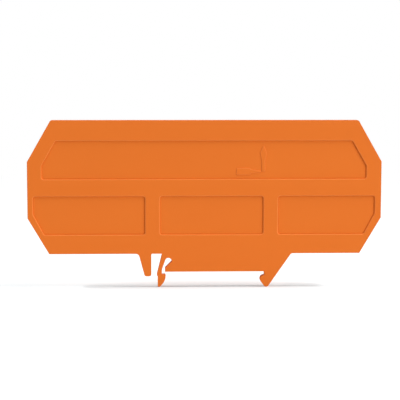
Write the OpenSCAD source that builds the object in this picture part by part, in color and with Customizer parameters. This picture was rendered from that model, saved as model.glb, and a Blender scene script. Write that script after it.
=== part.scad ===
// Partition plate that parts one group of rail-mounted terminal blocks from the next.
// It is one moulded piece: a wide plate with four shallow recesses in its front face, and
// a foot that hooks under one flange of a top-hat rail and snaps over the other.
// X runs along the plate, Y through its thickness with the recessed face at -Y, and Z up
// from the rail. The origin is the middle of the rail seat, halfway through the plate.

/* [Plate] */
// Length of the plate from end to end
plate_l = 120; // [100:1:160]
// Thickness of the moulding
plate_t = 3; // [2:0.1:5]
// Height of the top edge above the rail seat
plate_top = 51.55; // [46:0.05:70]
// Height of the wings' lower edge above the rail seat
wing_z = 6.2; // [5.5:0.1:9]
// Distance of the plate's middle from the rail's middle
plate_shift = -2.75; // [-5:0.25:5]
// Length that the slope of an upper corner takes off the plate
upper_slope_l = 8; // [4:0.1:12]
// Height of the slope of an upper corner
upper_slope_h = 14; // [10:0.1:16]
// Length that the slope of a lower corner takes off the plate
lower_slope_l = 7.2; // [4:0.1:10]
// Height of the slope of a lower corner
lower_slope_h = 12.2; // [8:0.1:16]
// Radius of the two top corners
top_r = 0.8; // [0:0.1:3]
// Radius of the other corners of the plate
end_r = 0.3; // [0:0.1:3]

/* [Recesses] */
// Depth of the recesses below the front face
recess_d = 0.5; // [0.2:0.1:1]
// Width of a recess's sloping wall, seen from the front
recess_slope = 0.15; // [0.1:0.05:1]
// Radius of the corners of a recess
recess_r = 0.8; // [0.2:0.1:1.2]
// Width of the rim above the upper recess
top_rim = 6.85; // [3:0.05:9]
// Height of the upper recess
upper_recess_h = 13.1; // [10:0.1:16]
// Width of the band between the upper recess and the lower row
band_w = 5.7; // [2:0.1:8]
// Height of the lower row of recesses
lower_recess_h = 13.2; // [10:0.1:14]
// Width of the rim at the left end of the upper recess
upper_rim_left = 4.8; // [2:0.1:8]
// Width of the rim at the right end of the upper recess
upper_rim_right = 5.1; // [2:0.1:8]
// Width of the rim beside the upper left slope, square to it
slope_rim_left = 4.8; // [3:0.1:8]
// Width of the rim beside the upper right slope, square to it
slope_rim_right = 5.1; // [3:0.1:8]
// Width of the rim at the left end of the lower row
lower_rim_left = 1.8; // [1:0.1:4]
// Width of the rim at the right end of the lower row
lower_rim_right = 2.1; // [1:0.1:4]
// Length that the slope of a lower recess takes off its bottom edge
lower_recess_slope_l = 3.7; // [2:0.1:6]
// Height of the slope of a lower recess
lower_recess_slope_h = 7.1; // [5:0.1:9]
// Distance of the left bar of the lower row from the rail's middle
left_bar_x = 20.55; // [16:0.05:26]
// Distance of the right bar of the lower row from the rail's middle
right_bar_x = 19.6; // [16:0.05:26]
// Width of the bars between the lower recesses
bar_w = 4.9; // [2:0.1:8]

/* [Rail] */
// Width of the rail over its flanges
rail_w = 35; // [35:0.1:36]
// Thickness of the rail's flanges
rail_t = 1; // [1:0.1:1.5]
// Clearance between the fixed hook and the rail's edge
rail_play = 0.05; // [0:0.05:0.3]
// Distance that the rail's other edge presses the spring arm outwards
arm_preload = 0.1; // [0:0.05:0.3]

/* [Fixed hook] */
// Clearance between the hook's lip and the underside of the flange
hook_play = 0.4; // [0.1:0.1:0.8]
// Reach of the hook's lip under the flange
hook_reach = 1.45; // [0.8:0.05:2]
// Height of the hook's blunt nose
hook_nose_h = 1.77; // [1.5:0.01:2]
// Radius of the hook's nose
hook_nose_r = 1.3; // [0.5:0.1:1.5]
// Lean of the hook's lead-in face from the vertical
hook_lead_lean = 37.5; // [25:0.5:45]
// Lean of the hook's back from the vertical
hook_back_lean = 34.8; // [25:0.1:40]
// Depth of the hook below the rail seat
hook_drop = 5.3; // [4.5:0.1:7]
// Width of the flat at the bottom of the hook
hook_tip_w = 1; // [0.8:0.1:2]
// Radius where the hook's tip meets its lead-in face
hook_toe_r = 0.5; // [0:0.1:0.8]
// Radius where the hook's tip meets its back
hook_heel_r = 0.7; // [0:0.1:0.8]
// Radius where the hook's back runs into the wing
hook_root_r = 1.2; // [0:0.1:3]

/* [Spring latch] */
// Clearance between the latch's lip and the underside of the flange
latch_play = 0; // [0:0.05:0.4]
// Reach of the latch's lip under the flange
latch_reach = 1.3; // [0.8:0.05:2]
// Height of the latch's nose above its lead-in face
latch_nose_h = 2; // [1.6:0.1:2.4]
// Radius of the bend from the nose to the lead-in face
latch_nose_r = 4.2; // [1:0.1:4.2]
// Radius of the lip's upper corner
latch_lip_r = 0.3; // [0:0.1:0.4]
// Lean of the latch's lead-in face from the vertical
latch_lead_lean = 42.8; // [35:0.1:45]
// Depth of the latch below the rail seat
latch_drop = 5.2; // [4.5:0.1:5.3]
// Radius of the latch's tip
latch_tip_r = 0.3; // [0:0.1:0.3]
// Thickness of the spring arm beside the rail
arm_t = 1.67; // [1:0.01:2]
// Step from the spring arm in to the back of the latch's head
arm_step = 0.25; // [0:0.05:0.4]
// Depth of that step below the rail seat
arm_step_drop = 1.4; // [1:0.1:2]
// Lean of the spring arm's outer side from the vertical
arm_outer_lean = 14; // [10:0.5:16]
// Lean of the spring arm's inner side from the vertical
arm_inner_lean = 20; // [16:0.5:24]
// Depth below the seat at which the arm's outer side starts to lean
arm_outer_bend_drop = 0.8; // [0.2:0.1:1]
// Height above the seat at which the arm's inner side starts to lean
arm_inner_bend_z = 0.76; // [0.5:0.02:1]
// Radius of the bends of the spring arm
arm_bend_r = 2; // [0:0.1:3]
// Width of the slit's mouth beside the rail
slit_mouth = 1.07; // [0.8:0.01:1.6]
// Height of the upright face beside the slit's mouth
slit_lip_h = 1.22; // [0.8:0.02:1.6]
// Length of the sloping face behind the slit's mouth, along X
slit_flare = 2.42; // [1.8:0.02:2.7]
// Height of the top of the slit above the rail seat
slit_top = 4.75; // [4.5:0.05:5]
// Distance that the slit's roof stops short of the end of that sloping face, along X
slit_roof_in = 0.7; // [0.4:0.05:1]
// Radius of the two corners of the slit's roof
slit_r = 1; // [0.3:0.05:1.2]

/* [Guard tongue] */
// Gap between the tongue and the spring arm
tongue_gap = 1.91; // [1.2:0.01:3]
// Width of the tongue's tip
tongue_tip_w = 2.24; // [1.8:0.02:4]
// Lean of the tongue's outer side from the vertical
tongue_lean = 15.1; // [0:0.1:20]
// Depth of the tongue below the rail seat
tongue_drop = 1.55; // [0.5:0.05:4]
// Radius of the tongue's tip
tongue_tip_r = 0.8; // [0:0.1:0.8]
// Radius of the tongue's outer root
tongue_outer_r = 1.3; // [0:0.1:2]
// Radius of the tongue's root beside the spring arm
tongue_inner_r = 0.4; // [0:0.1:0.8]

/* [Raised sign] */
// Height that the sign stands above the floor of the upper recess
sign_h = 0.2; // [0.1:0.05:0.2]
// Distance of the arrow from the rail's middle
arrow_x = 17.05; // [12:0.05:30]
// Height of the arrow's foot above the recess's lower rim
arrow_z = 2.6; // [1.5:0.1:3.5]
// Height of the arrow
arrow_h = 9.1; // [6:0.1:9.4]
// Height of the arrow's head
arrow_head_h = 5.6; // [3:0.1:6]
// Width of the arrow's head
arrow_w = 2.4; // [1.6:0.1:4]
// Width of the arrow's stem
arrow_stem_w = 1.25; // [0.6:0.05:1.4]
// Gap between the lever's tip and the arrow's stem
lever_gap = 0.2; // [0.1:0.1:2]
// Height of the lever's middle above the recess's lower rim
lever_z = 2.6; // [2:0.1:8]
// Length of the lever's handle
lever_handle_l = 5; // [3:0.1:8]
// Width of the lever's handle
lever_handle_w = 2.4; // [1.6:0.1:3]
// Radius of the handle's corners
lever_handle_r = 0.5; // [0:0.1:0.8]
// Length of the lever's blade
lever_blade_l = 3.4; // [2:0.1:5]
// Width of the blade where it leaves the handle
lever_blade_w = 1.4; // [0.8:0.1:1.6]
// Width of the blade's tip
lever_tip_w = 0.5; // [0.3:0.1:0.8]

/* [Hidden] */

// Largest turn, in degrees, between two points of a rounded corner
arc_step = 7.5;
// Largest share of a straight side that the fillets at its two ends take up
side_use = 0.98;
// Facets in a full turn at the corners of a recess
recess_fn = 32;
// Thickness of the thin slices that a recess's leaning walls are stretched between
slice = 0.01;
// Distance that a recess's cut runs on past the face
cut_past = 0.25;
// Depth that the raised sign is rooted in the floor
root_d = 0.2;

left_end = plate_shift - plate_l / 2;
right_end = plate_shift + plate_l / 2;
upper_slope_hyp = norm([upper_slope_l, upper_slope_h]);

rail_edge = rail_w / 2 + rail_play;
arm_x = -rail_w / 2 + arm_preload;
hook_lip_z = -rail_t - hook_play;
hook_nose_x = rail_edge - hook_reach;
hook_lead_z = hook_lip_z - hook_nose_h;
hook_toe_x = hook_nose_x + (hook_drop + hook_lead_z) * tan(hook_lead_lean);
hook_heel_x = hook_toe_x + hook_tip_w;
hook_root_x = hook_heel_x + (hook_drop + wing_z) * tan(hook_back_lean);

latch_lip_z = -rail_t - latch_play;
latch_nose_x = arm_x + latch_reach;
latch_lead_z = latch_lip_z - latch_nose_h;
latch_tip_x = latch_nose_x - (latch_drop + latch_lead_z) * tan(latch_lead_lean);
arm_outer_x = arm_x - arm_t;
arm_root_x = arm_outer_x + (wing_z + arm_outer_bend_drop) * tan(arm_outer_lean);
slit_inner_x = arm_x + slit_mouth;
slit_outer_x = arm_x + (slit_top - arm_inner_bend_z) * tan(arm_inner_lean);

tongue_inner_x = arm_outer_x - tongue_gap;
tongue_outer_x = tongue_inner_x - tongue_tip_w;
tongue_root_x = tongue_outer_x - (wing_z + tongue_drop) * tan(tongue_lean);

upper_recess_top = plate_top - top_rim;
upper_recess_base = upper_recess_top - upper_recess_h;
lower_recess_top = upper_recess_base - band_w;
lower_recess_base = lower_recess_top - lower_recess_h;

// Corners are [x, z, radius]. They run clockwise round the front face.
plate_upper_corners = [
    [left_end, plate_top - upper_slope_h, end_r],
    [left_end + upper_slope_l, plate_top, top_r],
    [right_end - upper_slope_l, plate_top, top_r],
    [right_end, plate_top - upper_slope_h, end_r],
    [right_end, wing_z + lower_slope_h, end_r],
    [right_end - lower_slope_l, wing_z, end_r]
];

hook_corners = [
    [hook_root_x, wing_z, hook_root_r],
    [hook_heel_x, -hook_drop, hook_heel_r],
    [hook_toe_x, -hook_drop, hook_toe_r],
    [hook_nose_x, hook_lead_z, hook_nose_r],
    [hook_nose_x, hook_lip_z, hook_nose_r],
    [rail_edge, hook_lip_z, 0],
    [rail_edge, 0, 0]
];

slit_corners = [
    [slit_inner_x, 0, 0],
    [slit_inner_x, slit_lip_h, 0],
    [slit_inner_x + slit_flare, slit_lip_h + slit_flare, 0],
    [slit_inner_x + slit_flare - slit_roof_in, slit_top, slit_r],
    [slit_outer_x, slit_top, slit_r],
    [arm_x, arm_inner_bend_z, arm_bend_r]
];

latch_corners = [
    [arm_x, latch_lip_z, 0],
    [latch_nose_x, latch_lip_z, latch_lip_r],
    [latch_nose_x, latch_lead_z, latch_nose_r],
    [latch_tip_x, -latch_drop, latch_tip_r],
    [arm_outer_x + arm_step, -latch_drop, latch_tip_r],
    [arm_outer_x + arm_step, -arm_step_drop, 0],
    [arm_outer_x, -arm_step_drop, 0],
    [arm_outer_x, -arm_outer_bend_drop, arm_bend_r],
    [arm_root_x, wing_z, 0]
];

tongue_corners = [
    [tongue_inner_x, wing_z, tongue_inner_r],
    [tongue_inner_x, -tongue_drop, tongue_tip_r],
    [tongue_outer_x, -tongue_drop, tongue_tip_r],
    [tongue_root_x, wing_z, tongue_outer_r]
];

plate_lower_corners = [
    [left_end + lower_slope_l, wing_z, end_r],
    [left_end, wing_z + lower_slope_h, end_r]
];

// Outlines of the recesses at the face, each with sharp corners
upper_recess = [
    [left_end + upper_rim_left, upper_recess_base],
    [left_end + upper_rim_left, slope_rim_z(upper_rim_left, slope_rim_left)],
    [left_end + slope_rim_inset(upper_recess_top, slope_rim_left), upper_recess_top],
    [right_end - slope_rim_inset(upper_recess_top, slope_rim_right), upper_recess_top],
    [right_end - upper_rim_right, slope_rim_z(upper_rim_right, slope_rim_right)],
    [right_end - upper_rim_right, upper_recess_base]
];

lower_left_recess = lower_end_recess(left_end + lower_rim_left, -left_bar_x - bar_w / 2);
lower_right_recess = lower_end_recess(right_end - lower_rim_right, right_bar_x + bar_w / 2);

lower_middle_recess = [
    [-left_bar_x + bar_w / 2, lower_recess_base],
    [-left_bar_x + bar_w / 2, lower_recess_top],
    [right_bar_x - bar_w / 2, lower_recess_top],
    [right_bar_x - bar_w / 2, lower_recess_base]
];

// Distance from the plate's end to the recess beside the upper slope, at a height
function slope_rim_inset(z, rim) =
    ((z - plate_top + upper_slope_h) * upper_slope_l + rim * upper_slope_hyp) / upper_slope_h;

// Height at which the recess beside the upper slope is this far from the plate's end
function slope_rim_z(inset, rim) =
    plate_top - upper_slope_h + (inset * upper_slope_h - rim * upper_slope_hyp) / upper_slope_l;

// A lower recess at one end of the plate, from its outer side to the bar beside it
function lower_end_recess(outer_x, bar_x) =
    let (slope_x = outer_x + sign(bar_x - outer_x) * lower_recess_slope_l)
    [
        [slope_x, lower_recess_base],
        [outer_x, lower_recess_base + lower_recess_slope_h],
        [outer_x, lower_recess_top],
        [bar_x, lower_recess_top],
        [bar_x, lower_recess_base]
    ];

function unit(v) = v / norm(v);
function turned(v, angle) = [v.x * cos(angle) - v.y * sin(angle), v.x * sin(angle) + v.y * cos(angle)];
function xz(corner) = [corner.x, corner.y];

// Half of the angle between the two sides that meet at corner p
function half_angle(a, p, b) = acos(unit(a - p) * unit(b - p)) / 2;

// Length of side that the fillet at each corner takes up
function fillet_lengths(corners) =
    let (n = len(corners))
    [for (i = [0:n - 1])
        corners[i].z / tan(half_angle(
            xz(corners[(i + n - 1) % n]), xz(corners[i]), xz(corners[(i + 1) % n])))];

// Share of its radius that a fillet keeps, so that two fillets fit on the side between them
function side_share(a, b, length_a, length_b) =
    let (room = side_use * norm(b - a), taken = length_a + length_b)
    taken > room ? room / taken : 1;

// Points of the arc that rounds corner p, or the corner itself where its radius is 0
function fillet(a, p, b, r) =
    r <= 0 ? [p] :
    let (
        u = unit(a - p), v = unit(b - p), half = half_angle(a, p, b),
        centre = p + unit(u + v) * r / sin(half),
        first = p + u * r / tan(half) - centre,
        sweep = sign(cross(-u, v)) * (180 - 2 * half),
        steps = ceil(abs(sweep) / arc_step)
    )
    [for (k = [0:steps]) centre + turned(first, sweep * k / steps)];

// Outline through [x, z, radius] corners, with each fillet limited by the sides beside it
function rounded(corners) =
    let (n = len(corners), lengths = fillet_lengths(corners))
    [for (i = [0:n - 1])
        let (
            before = (i + n - 1) % n, after = (i + 1) % n,
            a = xz(corners[before]), p = xz(corners[i]), b = xz(corners[after]),
            share = min(side_share(a, p, lengths[before], lengths[i]),
                side_share(p, b, lengths[i], lengths[after]))
        )
        each fillet(a, p, b, corners[i].z * share)];

module outline() {
    polygon(rounded(concat(plate_upper_corners, hook_corners, slit_corners,
        latch_corners, tongue_corners, plate_lower_corners)));
}

// A recess's outline, moved inwards from its sharp outline and rounded at its corners
module recess_outline(corners, inset) {
    offset(r = recess_r, $fn = recess_fn) offset(delta = -recess_r - inset) polygon(corners);
}

// The space of one recess, whose walls lean outwards from its floor to the face
module recess(corners) {
    hull() {
        translate([0, 0, plate_t - recess_d])
            linear_extrude(slice) recess_outline(corners, recess_slope);
        translate([0, 0, plate_t + cut_past])
            linear_extrude(slice) recess_outline(corners, -recess_slope * cut_past / recess_d);
    }
}

// An upright arrow, with its foot at the origin
module arrow() {
    neck_h = arrow_h - arrow_head_h;
    shoulder_h = arrow_h - arrow_head_h / 2;
    polygon([
        [-arrow_stem_w / 2, 0], [-arrow_stem_w / 2, neck_h], [-arrow_w / 2, shoulder_h],
        [0, arrow_h],
        [arrow_w / 2, shoulder_h], [arrow_stem_w / 2, neck_h], [arrow_stem_w / 2, 0]
    ]);
}

// A flat lever that points along +X, with its tip at the origin
module lever() {
    handle_x = -lever_blade_l;
    half_w = lever_handle_w / 2;
    polygon(rounded([
        [0, -lever_tip_w / 2, 0], [handle_x, -lever_blade_w / 2, 0],
        [handle_x, -half_w, lever_handle_r], [handle_x - lever_handle_l, -half_w, lever_handle_r],
        [handle_x - lever_handle_l, half_w, lever_handle_r], [handle_x, half_w, lever_handle_r],
        [handle_x, lever_blade_w / 2, 0], [0, lever_tip_w / 2, 0]
    ]));
}

// The raised sign on the floor of the upper recess, which shows that the foot lifts off by a lever
module raised_sign() {
    floor_h = plate_t - recess_d;
    translate([0, upper_recess_base, floor_h - root_d]) linear_extrude(root_d + sign_h) {
        translate([arrow_x, arrow_z]) arrow();
        translate([arrow_x - arrow_stem_w / 2 - lever_gap, lever_z]) lever();
    }
}

module partition_plate() {
    color("#e77630")
        translate([0, plate_t / 2, 0]) rotate([90, 0, 0]) {
            difference() {
                linear_extrude(plate_t) outline();
                for (corners = [upper_recess, lower_left_recess, lower_middle_recess, lower_right_recess])
                    recess(corners);
            }
            raised_sign();
        }
}

partition_plate();
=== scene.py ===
"""Visual model of a partition plate for rail-mounted terminal blocks.

The plate is one injection moulding in orange polyamide. This script takes the exact plate of the
frame, gives its edges the small radii of a moulding, sinks the marks of the ejector pins into its
back, gives it the finish of matte polyamide, and sets it on a white floor under soft light.
"""
import logging
import math
from dataclasses import dataclass, field
from enum import Enum

import bmesh
import bpy
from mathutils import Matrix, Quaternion, Vector


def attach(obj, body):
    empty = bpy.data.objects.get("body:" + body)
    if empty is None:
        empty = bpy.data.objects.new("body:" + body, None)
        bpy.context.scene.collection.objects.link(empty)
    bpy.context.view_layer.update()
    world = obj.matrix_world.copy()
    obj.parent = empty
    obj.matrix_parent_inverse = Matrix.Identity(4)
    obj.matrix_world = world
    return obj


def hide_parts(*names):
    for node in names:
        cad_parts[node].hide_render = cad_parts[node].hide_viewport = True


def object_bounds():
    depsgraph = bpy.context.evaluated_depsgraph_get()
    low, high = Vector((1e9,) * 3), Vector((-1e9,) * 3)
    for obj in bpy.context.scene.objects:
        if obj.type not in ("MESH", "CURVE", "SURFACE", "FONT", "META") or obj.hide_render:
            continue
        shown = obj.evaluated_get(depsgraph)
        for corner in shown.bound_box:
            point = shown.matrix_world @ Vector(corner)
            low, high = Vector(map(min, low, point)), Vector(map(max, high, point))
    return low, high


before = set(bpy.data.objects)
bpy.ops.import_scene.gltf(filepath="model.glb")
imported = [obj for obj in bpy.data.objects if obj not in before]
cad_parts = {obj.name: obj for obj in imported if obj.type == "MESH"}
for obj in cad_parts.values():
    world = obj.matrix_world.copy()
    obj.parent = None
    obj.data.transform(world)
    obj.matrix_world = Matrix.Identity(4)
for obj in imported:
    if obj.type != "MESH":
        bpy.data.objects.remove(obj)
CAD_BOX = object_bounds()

LOG = logging.getLogger("partition_plate")
MM = 0.001


def linear_colour(hex_colour: str) -> tuple[float, float, float, float]:
    """Turns an sRGB colour into the linear colour that a shader takes.

    Args:
        hex_colour: The colour as #RRGGBB.

    Returns:
        Red, green, blue and an alpha of 1, all from 0 to 1.
    """
    channels = [int(hex_colour[i:i + 2], 16) / 255 for i in (1, 3, 5)]
    linear = [c / 12.92 if c <= 0.04045 else ((c + 0.055) / 1.055) ** 2.4 for c in channels]
    return (*linear, 1.0)


def add_node(
    tree: bpy.types.NodeTree,
    kind: str,
    settings: dict[str, object] | None = None,
    inputs: dict[str | int, object] | None = None,
) -> bpy.types.Node:
    """Adds a node with its settings, and with a value or a link on each input that is named.

    Args:
        tree: The node tree that takes the node.
        kind: The node's type, such as ShaderNodeBump.
        settings: The node's own properties by name.
        inputs: The inputs by name or number. A socket is linked, and anything else is a value.

    Returns:
        The new node.
    """
    node = tree.nodes.new(kind)
    for name, value in (settings or {}).items():
        setattr(node, name, value)
    for name, value in (inputs or {}).items():
        if isinstance(value, bpy.types.NodeSocket):
            tree.links.new(value, node.inputs[name])
        else:
            node.inputs[name].default_value = value
    return node


@dataclass(frozen=True)
class MouldedPolyamide:
    """Polyamide 66, injection moulded in a spark-eroded mould.

    The eroded mould leaves a fine, even grain that scatters the light, so the surface is matte with
    a broad pale sheen. The colour goes right through, and drifts a little where the melt flowed.
    The rims of the recesses and of the sign take a paler painted highlight where they face the front,
    and the creases round the recess floors a darker painted shade, most of all those that face up.
    """

    colour: str = "#E5762A"
    deep_colour: str = "#E27228"
    roughness: float = 0.76
    roughness_spread: float = 0.06
    ior: float = 1.53
    specular_level: float = 0.1
    grain_mm: float = 0.3
    grain_depth_mm: float = 0.004
    grain_strength: float = 0.25
    grain_detail: float = 2.0
    grain_roughness: float = 0.6
    grain_low: float = 0.3
    grain_high: float = 0.7
    flow_mm: float = 14.0
    flow_stretch: float = 0.45
    flow_detail: float = 3.0
    # A paler colour painted on the front-facing rims, as a painted highlight.
    highlight_colour: str = "#EA9455"
    painted_highlight: str = "painted_highlight"
    # A darker colour painted into the creases round the recess floors, as painted shade.
    crease_shade_colour: str = "#C45A18"
    painted_crease_shade: str = "painted_crease_shade"

    def material(self) -> bpy.types.Material:
        """Builds the material from noise at the sizes of the grain and of the flow.

        Returns:
            The material, whose patterns lie in the piece's own coordinates.
        """
        material = bpy.data.materials.new("moulded_polyamide")
        material.use_nodes = True
        tree = material.node_tree
        tree.nodes.clear()
        place = add_node(tree, "ShaderNodeTexCoord").outputs["Object"]

        # The melt ran along the plate, so the drift in colour is longer that way.
        along = add_node(tree, "ShaderNodeMapping", inputs={
            "Vector": place, "Scale": (self.flow_stretch, 1.0, 1.0)}).outputs["Vector"]
        flow = add_node(tree, "ShaderNodeTexNoise", inputs={
            "Vector": along, "Scale": 1 / (self.flow_mm * MM),
            "Detail": self.flow_detail}).outputs["Fac"]
        colour = add_node(tree, "ShaderNodeMix", {"data_type": "RGBA"}, {
            "Factor": flow, 6: linear_colour(self.deep_colour), 7: linear_colour(self.colour)})
        # Mixes in the painted highlight on the rims and the painted shade in the creases, by two face
        # attributes.
        for name, shade in ((self.painted_highlight, self.highlight_colour), (self.painted_crease_shade, self.crease_shade_colour)):
            amount = add_node(tree, "ShaderNodeAttribute", {"attribute_name": name}).outputs["Fac"]
            colour = add_node(tree, "ShaderNodeMix", {"data_type": "RGBA"}, {
                "Factor": amount, 6: colour.outputs[2], 7: linear_colour(shade)})

        # Real eroded grain is about 0.1 mm wide. It is drawn coarser, as the finest that shows.
        grain = add_node(tree, "ShaderNodeTexNoise", inputs={
            "Vector": place, "Scale": 1 / (self.grain_mm * MM), "Detail": self.grain_detail,
            "Roughness": self.grain_roughness}).outputs["Fac"]
        gloss = add_node(tree, "ShaderNodeMapRange", inputs={
            "Value": grain, "From Min": self.grain_low, "From Max": self.grain_high,
            "To Min": self.roughness - self.roughness_spread,
            "To Max": self.roughness + self.roughness_spread}).outputs["Result"]
        bump = add_node(tree, "ShaderNodeBump", inputs={
            "Strength": self.grain_strength, "Distance": self.grain_depth_mm * MM,
            "Height": grain}).outputs["Normal"]

        shader = add_node(tree, "ShaderNodeBsdfPrincipled", inputs={
            "Base Color": colour.outputs[2], "Roughness": gloss, "IOR": self.ior,
            "Specular IOR Level": self.specular_level, "Normal": bump})
        add_node(tree, "ShaderNodeOutputMaterial", inputs={"Surface": shader.outputs["BSDF"]})
        return material


class EdgeKind(Enum):
    """The kinds of edge on the moulding, each with its radius in millimetres."""

    OUTLINE = 0.08
    UPRIGHT = 0.08
    RECESS_RIM = 0.22
    RECESS_FLOOR = 0.25
    SIGN = 0.19


@dataclass(frozen=True)
class PinRow:
    """A row of ejector pins: its height, its two end places along the plate and its count."""

    z_mm: float
    first_x_mm: float
    last_x_mm: float
    count: int


@dataclass
class EjectorMarks:
    """Shallow round marks in the back of the plate, where pins pushed it out of the mould."""

    radius_mm: float = 1.5
    depth_mm: float = 0.05
    sides: int = 48
    rows: tuple[PinRow, ...] = (
        PinRow(48.2, -48.0, 42.5, 5),
        PinRow(28.55, -56.0, 50.5, 6),
        PinRow(3.4, -10.0, 16.5, 3),
    )

    def tree(self, material: bpy.types.Material) -> bpy.types.GeometryNodeTree:
        """Builds the Geometry Nodes tree that cuts the marks into a plate.

        Args:
            material: The finish that the whole result takes.

        Returns:
            The tree, with named inputs for the sizes of the marks and for each row.
        """
        tree = bpy.data.node_groups.new("ejector_marks", "GeometryNodeTree")
        face = tree.interface
        face.new_socket("Plate", in_out="INPUT", socket_type="NodeSocketGeometry")
        face.new_socket("Radius", in_out="INPUT", socket_type="NodeSocketFloat")
        face.new_socket("Depth", in_out="INPUT", socket_type="NodeSocketFloat")
        for number in range(len(self.rows)):
            face.new_socket(f"Row {number} start", in_out="INPUT", socket_type="NodeSocketVector")
            face.new_socket(f"Row {number} end", in_out="INPUT", socket_type="NodeSocketVector")
            face.new_socket(f"Row {number} count", in_out="INPUT", socket_type="NodeSocketInt")
        face.new_socket("Plate", in_out="OUTPUT", socket_type="NodeSocketGeometry")

        # Each pin is centred on the back face, so half of its length lies inside the plate.
        given = add_node(tree, "NodeGroupInput").outputs
        length = add_node(tree, "ShaderNodeMath", {"operation": "MULTIPLY"}, {
            0: given["Depth"], 1: 2.0}).outputs[0]
        pin = add_node(tree, "GeometryNodeMeshCylinder", inputs={
            "Vertices": self.sides, "Radius": given["Radius"], "Depth": length}).outputs["Mesh"]
        pins = add_node(tree, "GeometryNodeJoinGeometry")
        for number in range(len(self.rows)):
            row = add_node(tree, "GeometryNodeMeshLine", {"mode": "END_POINTS"}, {
                "Count": given[f"Row {number} count"],
                "Start Location": given[f"Row {number} start"],
                "Offset": given[f"Row {number} end"]}).outputs["Mesh"]
            placed = add_node(tree, "GeometryNodeInstanceOnPoints", inputs={
                "Points": row, "Instance": pin, "Rotation": (math.pi / 2, 0.0, 0.0)})
            tree.links.new(placed.outputs["Instances"], pins.inputs["Geometry"])
        whole = add_node(tree, "GeometryNodeRealizeInstances", inputs={
            "Geometry": pins.outputs["Geometry"]}).outputs["Geometry"]
        cut = add_node(tree, "GeometryNodeMeshBoolean", {
            "operation": "DIFFERENCE", "solver": "EXACT"}, {
            "Mesh 1": given["Plate"], "Mesh 2": whole})
        crisp = add_node(tree, "GeometryNodeSetShadeSmooth", {"domain": "EDGE"}, {
            "Geometry": cut.outputs["Mesh"], "Selection": cut.outputs["Intersecting Edges"],
            "Shade Smooth": False}).outputs["Geometry"]
        real = add_node(tree, "GeometryNodeRealizeInstances", inputs={
            "Geometry": crisp}).outputs["Geometry"]
        dressed = add_node(tree, "GeometryNodeSetMaterial", inputs={
            "Geometry": real, "Material": material}).outputs["Geometry"]
        add_node(tree, "NodeGroupOutput", inputs={"Plate": dressed})
        return tree

    def add_to(self, plate: bpy.types.Object, back_y: float, material: bpy.types.Material) -> None:
        """Adds the marks to the plate as a modifier.

        Args:
            plate: The plate's object.
            back_y: The back face's place along Y, in metres.
            material: The finish that the whole result takes.
        """
        tree = self.tree(material)
        modifier = plate.modifiers.new("ejector_marks", "NODES")
        modifier.node_group = tree
        values: dict[str, object] = {"Radius": self.radius_mm * MM, "Depth": self.depth_mm * MM}
        for number, row in enumerate(self.rows):
            values[f"Row {number} start"] = (row.first_x_mm * MM, back_y, row.z_mm * MM)
            values[f"Row {number} end"] = (row.last_x_mm * MM, back_y, row.z_mm * MM)
            values[f"Row {number} count"] = row.count
        for item in tree.interface.items_tree:
            if item.in_out == "INPUT" and item.name in values:
                modifier[item.identifier] = values[item.name]


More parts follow.
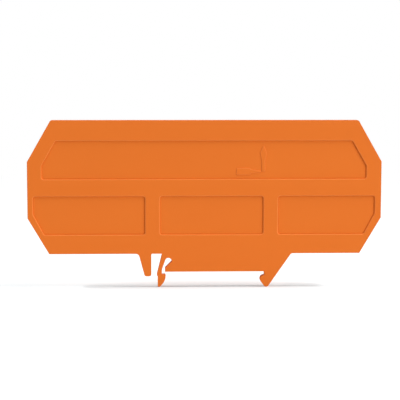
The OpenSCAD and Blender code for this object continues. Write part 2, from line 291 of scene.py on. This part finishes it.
@dataclass
class PartitionPlate:
    """The moulded plate, with its recesses, its foot for the rail and its raised sign.

    The turns are in degrees. The values named below and above are compared with the part of a
    face's normal that points along Y, which is 1 for the front and the back.
    """

    node: str = "partition_plate"
    finish: MouldedPolyamide = field(default_factory=MouldedPolyamide)
    marks: EjectorMarks = field(default_factory=EjectorMarks)
    merge_mm: float = 0.001
    flat_turn: float = 0.2
    sharp_turn: float = 25.0
    level_mm: float = 0.01
    upright_below: float = 0.1
    flat_above: float = 0.9
    round_steps: int = 3
    flat_face_mm2: float = 3.0
    level_above: float = 0.995
    # A vertex value for painting: above 0 gives the rims a painted highlight, below 0 gives the
    # recess-floor creases painted shade.
    highlight_and_shade: str = "highlight_and_shade"
    highlight_and_shade_of: dict[EdgeKind, float] = field(default_factory=lambda: {
        EdgeKind.RECESS_RIM: 1.0, EdgeKind.SIGN: 0.5, EdgeKind.RECESS_FLOOR: -1.0})
    # How far a rim face must face the front to take the painted highlight.
    highlight_above: float = 0.85
    # How much painted shade a crease takes on an upright side; it grows where the crease faces up.
    crease_shade_on_sides: float = 0.65

    def cad_copy(self) -> bpy.types.Object:
        """Copies the exact plate, with its loose triangles merged into whole faces.

        Returns:
            The copy, as an object at the origin.
        """
        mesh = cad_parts[self.node].data.copy()
        mesh.name = "moulded_plate"
        shape = bmesh.new()
        shape.from_mesh(mesh)
        bmesh.ops.remove_doubles(shape, verts=shape.verts, dist=self.merge_mm * MM)
        bmesh.ops.dissolve_limit(
            shape, angle_limit=math.radians(self.flat_turn), verts=shape.verts, edges=shape.edges)
        self.weigh_edges(shape)
        shape.to_mesh(mesh)
        shape.free()
        mesh.materials.clear()
        plate = bpy.data.objects.new("moulded_plate", mesh)
        bpy.context.scene.collection.objects.link(plate)
        return plate

    def edge_kind(self, edge: bmesh.types.BMEdge, front_y: float, back_y: float) -> EdgeKind | None:
        """Says which kind of edge this is.

        Args:
            edge: An edge of the plate.
            front_y: The front face's place along Y, in metres.
            back_y: The back face's place along Y, in metres.

        Returns:
            The kind, or None where the two faces hardly turn, at the corners of a recess and at
            the sign's foot.
        """
        if len(edge.link_faces) != 2 or math.degrees(edge.calc_face_angle()) < self.sharp_turn:
            return None
        near = self.level_mm * MM
        ends = [vert.co.y for vert in edge.verts]
        tilts = sorted(abs(face.normal.y) for face in edge.link_faces)
        if tilts[1] < self.upright_below:
            spans = min(ends) < front_y + near and max(ends) > back_y - near
            return EdgeKind.UPRIGHT if spans else EdgeKind.SIGN
        if tilts[1] < self.flat_above:
            return None
        if tilts[0] > self.upright_below:
            return EdgeKind.RECESS_RIM if edge.is_convex else EdgeKind.RECESS_FLOOR
        if all(abs(y - back_y) < near or abs(y - front_y) < near for y in ends):
            return EdgeKind.OUTLINE
        return EdgeKind.SIGN if edge.is_convex else None

    def weigh_edges(self, shape: bmesh.types.BMesh) -> None:
        """Gives each edge its bevel weight: the width that its rounding takes, in millimetres.

        Args:
            shape: The merged plate.
        """
        shape.normal_update()
        weight = shape.edges.layers.float.new("bevel_weight_edge")
        # Each rim and crease vertex also gets its value for the painted highlight or the painted
        # shade.
        highlight_and_shade = shape.verts.layers.float.new(self.highlight_and_shade)
        front_y = min(vert.co.y for vert in shape.verts)
        back_y = max(vert.co.y for vert in shape.verts)
        for edge in shape.edges:
            kind = self.edge_kind(edge, front_y, back_y)
            if kind:
                edge[weight] = min(kind.value * math.tan(edge.calc_face_angle() / 2), 1.0)
            if kind in self.highlight_and_shade_of:
                for vert in edge.verts:
                    vert[highlight_and_shade] = self.highlight_and_shade_of[kind]

    def shade(self, mesh: bpy.types.Mesh) -> None:
        """Leaves the large faces flat, smooths the roundings, and marks the painted highlight and
        shade.

        Args:
            mesh: The finished mesh; its attribute is above 0 for the painted highlight, below 0 for
                painted shade.
        """
        highlight_and_shade = mesh.attributes[self.highlight_and_shade].data
        painted_highlight = mesh.attributes.new(self.finish.painted_highlight, "FLOAT", "FACE").data
        painted_crease_shade = mesh.attributes.new(self.finish.painted_crease_shade, "FLOAT", "FACE").data
        for face in mesh.polygons:
            values = [highlight_and_shade[number].value for number in face.vertices]
            tilted = abs(face.normal.y) < self.level_above
            rounding = tilted and (min(values) > 0.0 or max(values) < 0.0)
            small = face.area < self.flat_face_mm2 * MM ** 2
            face.use_smooth = rounding or (tilted and small)
            # Front-facing rim faces take the painted highlight.
            outward = max(-face.normal.y - self.highlight_above, 0.0) / (1 - self.highlight_above)
            painted_highlight[face.index].value = max(min(values), 0.0) * outward if rounding else 0.0
            # Crease faces take the painted shade, strongest where they face up.
            crease_shade_weight = min(max(self.crease_shade_on_sides + face.normal.z, 0.0), 1.0)
            painted_crease_shade[face.index].value = max(-max(values), 0.0) * crease_shade_weight if rounding else 0.0

    def build(self) -> bpy.types.Object:
        """Builds the plate and dresses it.

        Returns:
            The finished piece, as a plain mesh.
        """
        material = self.finish.material()
        plate = self.cad_copy()
        rounding = plate.modifiers.new("moulded_edges", "BEVEL")
        rounding.limit_method = "WEIGHT"
        rounding.width = MM
        rounding.segments = self.round_steps
        rounding.use_clamp_overlap = False
        rounding.loop_slide = False
        self.marks.add_to(plate, CAD_BOX[1].y, material)
        made = bpy.data.meshes.new_from_object(
            plate.evaluated_get(bpy.context.evaluated_depsgraph_get()),
            preserve_all_data_layers=True, depsgraph=bpy.context.evaluated_depsgraph_get())
        plate.modifiers.clear()
        plate.data = made
        made.name = "moulded_plate"
        self.shade(made)
        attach(plate, "root")
        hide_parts(self.node)
        LOG.info("%s: %d faces, %d materials", plate.name, len(made.polygons), len(made.materials))
        return plate


@dataclass(frozen=True)
class PhotoCamera:
    """The camera, at the angle and distance that the photograph was taken from."""

    target_mm: tuple[float, float, float] = (-4.45, -1.5, 24.57)
    azimuth: float = -2.17
    elevation: float = 6.42
    roll: float = 0.078
    distance_mm: float = 464.5
    focal_px: float = 1371.0
    image_px: int = 400
    sensor_mm: float = 36.0

    def place(self) -> bpy.types.Object:
        """Makes the scene's camera.

        Returns:
            The camera's object.
        """
        data = bpy.data.cameras.new("camera")
        data.sensor_width = self.sensor_mm
        data.lens = self.sensor_mm * self.focal_px / self.image_px
        data.clip_start = 0.01
        camera = bpy.data.objects.new("camera", data)
        turn, rise = math.radians(self.azimuth), math.radians(self.elevation)
        flat = math.cos(rise)
        back = Vector((math.sin(turn) * flat, -math.cos(turn) * flat, math.sin(rise)))
        camera.location = Vector(self.target_mm) * MM + back * self.distance_mm * MM
        camera.rotation_mode = "QUATERNION"
        camera.rotation_quaternion = (-back).to_track_quat("-Z", "Y") @ Quaternion(
            (0.0, 0.0, 1.0), math.radians(self.roll))
        bpy.context.scene.collection.objects.link(camera)
        bpy.context.scene.camera = camera
        return camera


@dataclass(frozen=True)
class Lamp:
    """A soft oblong lamp: its direction and distance from the object, its size in metres, and how
    bright it makes a white surface that faces it."""

    name: str
    toward: tuple[float, float, float]
    distance: float
    size: tuple[float, float]
    level: float

    def light(self, piece: bpy.types.Object) -> bpy.types.Object:
        """Hangs the lamp so that it faces the object, and lets it light one thing only.

        Args:
            piece: The thing that the lamp lights. The other things still cast its shadows.

        Returns:
            The lamp's object.
        """
        data = bpy.data.lights.new(self.name, "AREA")
        data.shape = "RECTANGLE"
        data.size, data.size_y = self.size
        # Per steradian, a flat lamp sends 1/pi of its power straight ahead, and white card gives back
        # 1/pi of what falls on it.
        data.energy = self.level * math.pi ** 2 * self.distance ** 2
        lamp = bpy.data.objects.new(self.name, data)
        toward = Vector(self.toward).normalized()
        lamp.location = (CAD_BOX[0] + CAD_BOX[1]) / 2 + toward * self.distance
        lamp.rotation_mode = "QUATERNION"
        lamp.rotation_quaternion = (-toward).to_track_quat("-Z", "Y")
        bpy.context.scene.collection.objects.link(lamp)
        lit = bpy.data.collections.new(f"{self.name}_lights")
        lit.objects.link(piece)
        lamp.light_linking.receiver_collection = lit
        return lamp


@dataclass(frozen=True)
class Studio:
    """The white floor, the white surroundings and the soft lamps."""

    sky_level: float = 0.165
    plate_lamps: tuple[Lamp, ...] = (
        Lamp("key", (0.75, -0.6, 0.28), 2.0, (1.0, 1.0), 0.625),
        Lamp("top", (0.0, -0.3, 0.95), 1.2, (1.0, 0.6), 0.645),
        Lamp("back", (0.1, 1.0, 0.05), 1.4, (0.7, 0.7), 0.6),
    )
    floor_lamps: tuple[Lamp, ...] = (
        Lamp("left", (-0.743, 0.005, 0.669), 1.0, (0.34, 0.13), 1.27),
        Lamp("right", (0.785, -0.065, 0.62), 1.0, (0.34, 0.15), 1.5),
    )
    floor_colour: str = "#B5B8B9"
    floor_lift: float = 0.3
    floor_size: float = 40.0
    white_from: float = 0.15
    white_to: float = 0.4

    def background_rays(self, tree: bpy.types.NodeTree) -> bpy.types.NodeSocket:
        """Adds a value that is 1 for the rays that show the background, and else 0.

        Args:
            tree: The node tree that takes the nodes.

        Returns:
            The socket that gives the value.
        """
        rays = add_node(tree, "ShaderNodeLightPath").outputs
        mirrored = add_node(tree, "ShaderNodeMath", {"operation": "MAXIMUM"}, {
            0: rays["Is Glossy Ray"], 1: rays["Is Transmission Ray"]}).outputs[0]
        return add_node(tree, "ShaderNodeMath", {"operation": "MAXIMUM"}, {
            0: rays["Is Camera Ray"], 1: mirrored}).outputs[0]

    def surroundings(self) -> None:
        """Makes the world: an even light on the object, and white where it shows."""
        world = bpy.data.worlds.new("studio")
        bpy.context.scene.world = world
        world.use_nodes = True
        tree = world.node_tree
        tree.nodes.clear()
        strength = add_node(tree, "ShaderNodeMapRange", inputs={
            "Value": self.background_rays(tree),
            "To Min": self.sky_level, "To Max": 1.0}).outputs[0]
        light = add_node(tree, "ShaderNodeBackground", inputs={
            "Color": (1.0, 1.0, 1.0, 1.0), "Strength": strength})
        add_node(tree, "ShaderNodeOutputWorld", inputs={"Surface": light.outputs[0]})

    def floor_material(self) -> bpy.types.Material:
        """Builds the floor's material: pale card that shows as white and keeps the shadow.

        Returns:
            The material.
        """
        material = bpy.data.materials.new("white_floor")
        material.use_nodes = True
        tree = material.node_tree
        tree.nodes.clear()
        shown = self.background_rays(tree)
        card = add_node(tree, "ShaderNodeBsdfDiffuse", inputs={
            "Color": linear_colour(self.floor_colour)}).outputs[0]
        lift = add_node(tree, "ShaderNodeMath", {"operation": "MULTIPLY"}, {
            0: shown, 1: self.floor_lift}).outputs[0]
        glow = add_node(tree, "ShaderNodeEmission", inputs={"Strength": lift}).outputs[0]
        near = add_node(tree, "ShaderNodeAddShader", inputs={0: card, 1: glow}).outputs[0]

        # Away from the object the floor fades to plain white, so that it has no far edge.
        place = add_node(tree, "ShaderNodeTexCoord").outputs["Object"]
        reach = add_node(tree, "ShaderNodeVectorMath", {"operation": "LENGTH"}, {
            0: place}).outputs["Value"]
        fade = add_node(tree, "ShaderNodeMapRange", {"interpolation_type": "SMOOTHSTEP"}, {
            "Value": reach, "From Min": self.white_from, "From Max": self.white_to}).outputs[0]
        far = add_node(tree, "ShaderNodeMath", {"operation": "MULTIPLY"}, {
            0: fade, 1: shown}).outputs[0]
        white = add_node(tree, "ShaderNodeEmission", inputs={"Strength": 1.0}).outputs[0]
        both = add_node(tree, "ShaderNodeMixShader", inputs={0: far, 1: near, 2: white}).outputs[0]
        add_node(tree, "ShaderNodeOutputMaterial", inputs={"Surface": both})
        return material

    def floor(self) -> bpy.types.Object:
        """Makes the floor at the level of the foot.

        Returns:
            The floor's object.
        """
        half, level = self.floor_size / 2, CAD_BOX[0].z
        mesh = bpy.data.meshes.new("floor")
        corners = [(x * half, y * half, level) for x, y in ((-1, -1), (1, -1), (1, 1), (-1, 1))]
        mesh.from_pydata(corners, [], [(0, 1, 2, 3)])
        mesh.materials.append(self.floor_material())
        floor = bpy.data.objects.new("floor", mesh)
        bpy.context.scene.collection.objects.link(floor)
        return floor

    def build(self, plate: bpy.types.Object) -> None:
        """Builds the floor, the surroundings and the lamps.

        Args:
            plate: The finished plate.
        """
        self.surroundings()
        floor = self.floor()
        for lamps, piece in ((self.plate_lamps, plate), (self.floor_lamps, floor)):
            for lamp in lamps:
                lamp.light(piece)
        bpy.context.scene.view_settings.view_transform = "Standard"


def main() -> None:
    """Builds the plate, then the camera and the studio."""
    logging.basicConfig(level=logging.INFO, format="%(name)s: %(message)s")
    plate = PartitionPlate().build()
    PhotoCamera().place()
    Studio().build(plate)


if __name__ == "__main__":
    main()
